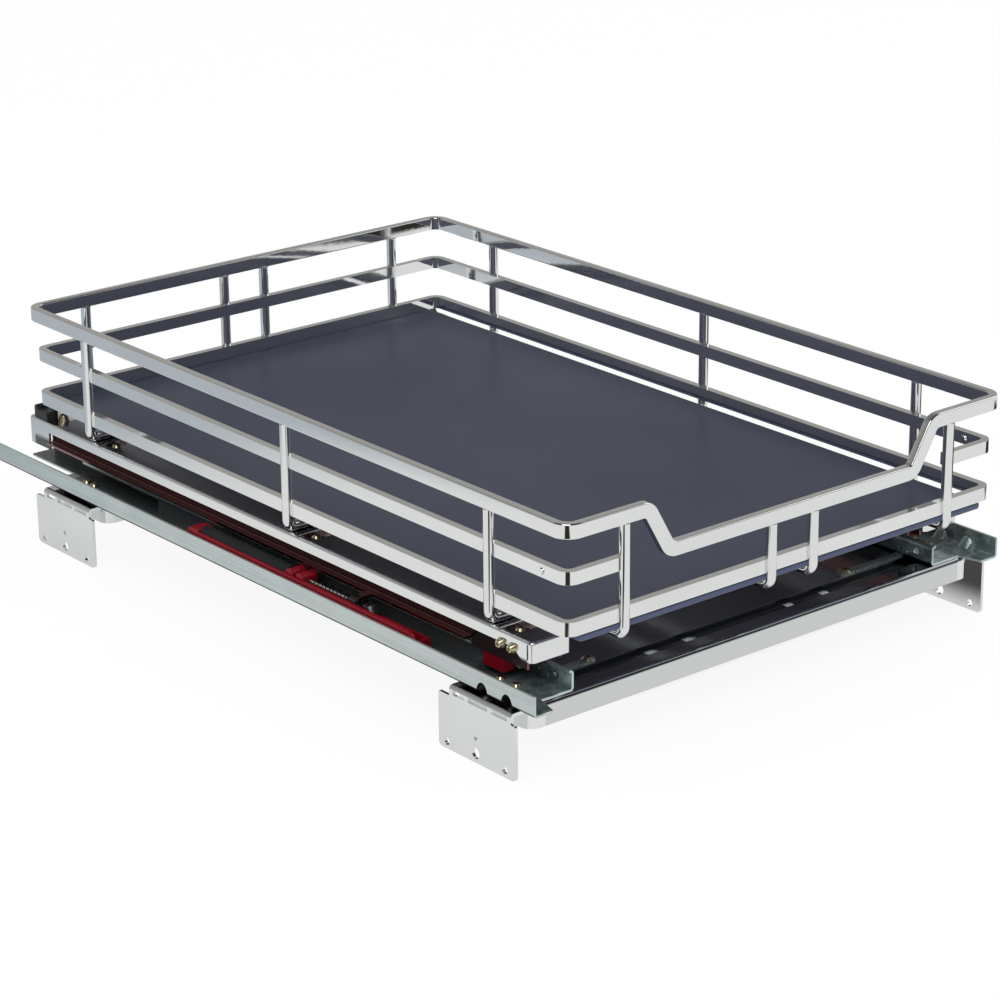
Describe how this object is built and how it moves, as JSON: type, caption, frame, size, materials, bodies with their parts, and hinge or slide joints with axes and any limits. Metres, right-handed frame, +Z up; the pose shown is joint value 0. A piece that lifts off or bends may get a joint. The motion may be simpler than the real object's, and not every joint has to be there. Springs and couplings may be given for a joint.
{
  "type": "pull-out storage basket",
  "caption": "Chrome wire-rail basket with a solid tray on soft-close full-extension undermount slides, crossmembers and side brackets, for the inside of a base cabinet",
  "frame": {"origin": "centre of the bottom of the object's box, at the height of the bracket plates' lower edges", "axes": "+Z up, +Y from the front of the basket to the back, +X to the right seen from the front"},
  "size_m": [0.3714, 0.557, 0.1505],
  "materials": {
    "chrome": "mirror-bright chrome plate",
    "galvanised": "galvanised sheet steel, satin, faintly drawn along its length",
    "tray": "smooth satin slate-grey panel with soft reflections",
    "red_plastic": "dark red moulded plastic, half gloss",
    "damper_grey": "dark grey damper tube, satin",
    "black_plastic": "black moulded plastic, satin",
    "cage_plastic": "natural acetal",
    "yellow_zinc": "yellow-chromated zinc on steel",
    "spring_steel": "bright steel wire and pins"
  },
  "bodies": {
    "basket": {"bottom_ring": "chrome", "carrier_left": "chrome", "carrier_right": "chrome", "carrier_screws_left": "yellow_zinc", "carrier_screws_right": "yellow_zinc", "drawer_member_left": "galvanised", "drawer_member_right": "galvanised", "long_rod_inner_left": "chrome", "long_rod_inner_right": "chrome", "long_rod_outer_left": "chrome", "long_rod_outer_right": "chrome", "middle_ring": "chrome", "rear_block_left": "black_plastic", "rear_block_right": "black_plastic", "ring_rivets": "chrome", "side_post_front_left": "chrome", "side_post_front_right": "chrome", "side_post_middle_left": "chrome", "side_post_middle_right": "chrome", "side_post_rear_left": "chrome", "side_post_rear_right": "chrome", "top_ring": "chrome", "tray_panel": "tray"},
    "frame": {"bracket_front_left": "chrome", "bracket_front_right": "chrome", "bracket_rear_left": "chrome", "bracket_rear_right": "chrome", "catch_spring_left": "spring_steel", "catch_spring_right": "spring_steel", "crossmember_front": "chrome", "crossmember_rear": "chrome", "damper_cylinder_left": "damper_grey", "damper_cylinder_right": "damper_grey", "fixed_rail_left": "galvanised", "fixed_rail_right": "galvanised", "rail_screws_left": "yellow_zinc", "rail_screws_right": "yellow_zinc", "soft_close_housing_left": "red_plastic", "soft_close_housing_right": "red_plastic", "tie_strap_left": "galvanised", "tie_strap_right": "galvanised"},
    "middle_left": {"buffer_left": "red_plastic", "middle_member_left": "galvanised"},
    "middle_right": {"buffer_right": "red_plastic", "middle_member_right": "galvanised"},
    "catch_body_left": {"catch_left": "black_plastic", "damper_rod_left": "spring_steel"},
    "catch_body_right": {"catch_right": "black_plastic", "damper_rod_right": "spring_steel"},
    "lower_cage_body_left": {"lower_cage_left": "cage_plastic", "lower_rollers_left": "spring_steel"},
    "lower_cage_body_right": {"lower_cage_right": "cage_plastic", "lower_rollers_right": "spring_steel"},
    "upper_cage_body_left": {"upper_cage_left": "cage_plastic", "upper_rollers_left": "spring_steel"},
    "upper_cage_body_right": {"upper_cage_right": "cage_plastic", "upper_rollers_right": "spring_steel"}
  },
  "joints": [
    {"name": "basket_slide", "type": "slide", "parent": "frame", "child": "basket", "axis": [0, -1, 0], "range_m": [0, 0.48]},
    {"name": "middle_slide_left", "type": "slide", "parent": "frame", "child": "middle_left", "axis": [0, -1, 0], "range_m": [0, 0.24]},
    {"name": "lower_cage_slide_left", "type": "slide", "parent": "frame", "child": "lower_cage_body_left", "axis": [0, -1, 0], "range_m": [0, 0.12]},
    {"name": "upper_cage_slide_left", "type": "slide", "parent": "frame", "child": "upper_cage_body_left", "axis": [0, -1, 0], "range_m": [0, 0.36]},
    {"name": "catch_slide_left", "type": "slide", "parent": "frame", "child": "catch_body_left", "axis": [0, -1, 0], "range_m": [0, 0.04], "stiffness_N_per_m": 60},
    {"name": "middle_slide_right", "type": "slide", "parent": "frame", "child": "middle_right", "axis": [0, -1, 0], "range_m": [0, 0.24]},
    {"name": "lower_cage_slide_right", "type": "slide", "parent": "frame", "child": "lower_cage_body_right", "axis": [0, -1, 0], "range_m": [0, 0.12]},
    {"name": "upper_cage_slide_right", "type": "slide", "parent": "frame", "child": "upper_cage_body_right", "axis": [0, -1, 0], "range_m": [0, 0.36]},
    {"name": "catch_slide_right", "type": "slide", "parent": "frame", "child": "catch_body_right", "axis": [0, -1, 0], "range_m": [0, 0.04], "stiffness_N_per_m": 60}
  ],
  "couplings": [
    {"joint": "middle_slide_left", "follows": "basket_slide", "ratio": 0.5},
    {"joint": "lower_cage_slide_left", "follows": "basket_slide", "ratio": 0.25},
    {"joint": "upper_cage_slide_left", "follows": "basket_slide", "ratio": 0.75},
    {"joint": "middle_slide_right", "follows": "basket_slide", "ratio": 0.5},
    {"joint": "lower_cage_slide_right", "follows": "basket_slide", "ratio": 0.25},
    {"joint": "upper_cage_slide_right", "follows": "basket_slide", "ratio": 0.75}
  ]
}
